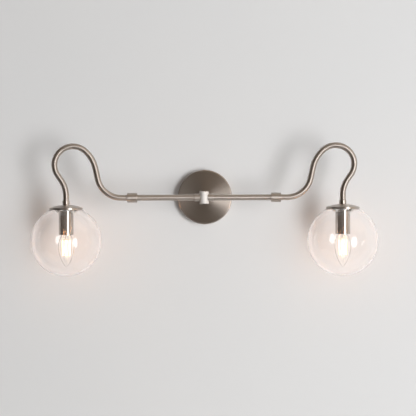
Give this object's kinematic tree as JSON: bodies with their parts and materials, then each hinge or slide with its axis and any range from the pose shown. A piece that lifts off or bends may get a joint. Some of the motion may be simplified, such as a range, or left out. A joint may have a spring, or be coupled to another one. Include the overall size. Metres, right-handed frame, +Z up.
{
  "type": "double arm wall sconce",
  "caption": "Wall light with a round canopy, a hub on a post, and swivelling swan-neck arms that carry clear ball shades on spring clips around candelabra bulbs.",
  "frame": {"origin": "centre of the canopy's open wall side, which is also the centre of the crossbar's slot pattern", "axes": "+X to the viewer's right along the arms, +Y into the wall, +Z up; the light stands out of the wall towards -Y"},
  "size_m": [0.7476, 0.1812, 0.2867],
  "materials": {
    "satin_nickel": "satin brushed nickel plate",
    "polished_nickel": "bright, finely brushed nickel plate",
    "zinc_steel": "zinc-plated steel",
    "spring_steel": "bright spring steel",
    "green_steel": "green earth-screw finish",
    "clear_glass": "clear blown glass",
    "bulb_glass": "thin clear glass",
    "stem_glass": "clear glass stem and steel support wires",
    "filament": "warm glowing phosphor",
    "brass": "bare brass",
    "bulb_base": "nickelled bulb base",
    "black_glass": "black glass insulator",
    "phenolic": "cream moulded lampholder",
    "nylon": "natural nylon",
    "silicone": "translucent silicone"
  },
  "bodies": {
    "fixture": {"canopy": "satin_nickel", "mounting_crossbar": "zinc_steel", "canopy_side_screws": "satin_nickel", "ground_screw": "green_steel", "mounting_nipple": "zinc_steel", "nipple_lock_washer": "zinc_steel", "nipple_nut": "zinc_steel", "post_flange": "satin_nickel", "post": "satin_nickel", "hub": "satin_nickel", "hub_cap": "satin_nickel", "swivel_stop_screws": "zinc_steel", "left_hub_ferrule": "satin_nickel", "left_arm_tube": "satin_nickel", "left_swivel_collar": "satin_nickel", "left_friction_washer": "nylon", "right_hub_ferrule": "satin_nickel", "right_arm_tube": "satin_nickel", "right_swivel_collar": "satin_nickel", "right_friction_washer": "nylon"},
    "left_arm": {"left_gooseneck": "satin_nickel", "left_swivel_spigot": "brass", "left_neck_ferrule": "satin_nickel", "left_cap": "satin_nickel", "left_shade_gasket": "silicone", "left_lamp_nipple": "zinc_steel", "left_cap_spacer": "zinc_steel", "left_spring_clip": "spring_steel", "left_socket_cup": "polished_nickel", "left_socket_nut": "zinc_steel", "left_lampholder": "phenolic", "left_screw_shell": "brass", "left_centre_contact": "brass"},
    "left_shade": {"left_globe": "clear_glass"},
    "left_bulb": {"left_bulb_glass": "bulb_glass", "left_bulb_base": "bulb_base", "left_bulb_insulator": "black_glass", "left_filament_mount": "stem_glass", "left_filaments": "filament"},
    "right_arm": {"right_gooseneck": "satin_nickel", "right_swivel_spigot": "brass", "right_neck_ferrule": "satin_nickel", "right_cap": "satin_nickel", "right_shade_gasket": "silicone", "right_lamp_nipple": "zinc_steel", "right_cap_spacer": "zinc_steel", "right_spring_clip": "spring_steel", "right_socket_cup": "polished_nickel", "right_socket_nut": "zinc_steel", "right_lampholder": "phenolic", "right_screw_shell": "brass", "right_centre_contact": "brass"},
    "right_shade": {"right_globe": "clear_glass"},
    "right_bulb": {"right_bulb_glass": "bulb_glass", "right_bulb_base": "bulb_base", "right_bulb_insulator": "black_glass", "right_filament_mount": "stem_glass", "right_filaments": "filament"}
  },
  "joints": [
    {"name": "left_arm_swivel", "type": "hinge", "parent": "fixture", "child": "left_arm", "pos_m": [-0.16, -0.105, 0], "axis": [-1, 0, 0], "range_deg": [-15, 60]},
    {"name": "left_shade_release", "type": "slide", "parent": "left_arm", "child": "left_shade", "axis": [0, 0, -1], "range_m": [0, 0.135], "deforming": ["left_spring_clip"]},
    {"name": "left_bulb_unscrew", "type": "hinge", "parent": "left_arm", "child": "left_bulb", "pos_m": [-0.2976, -0.105, -0.059], "axis": [0, 0, -1], "range_deg": [0, 1260]},
    {"name": "right_arm_swivel", "type": "hinge", "parent": "fixture", "child": "right_arm", "pos_m": [0.16, -0.105, 0], "axis": [-1, 0, 0], "range_deg": [-15, 60]},
    {"name": "right_shade_release", "type": "slide", "parent": "right_arm", "child": "right_shade", "axis": [0, 0, -1], "range_m": [0, 0.135], "deforming": ["right_spring_clip"]},
    {"name": "right_bulb_unscrew", "type": "hinge", "parent": "right_arm", "child": "right_bulb", "pos_m": [0.2976, -0.105, -0.059], "axis": [0, 0, -1], "range_deg": [0, 1260]}
  ]
}
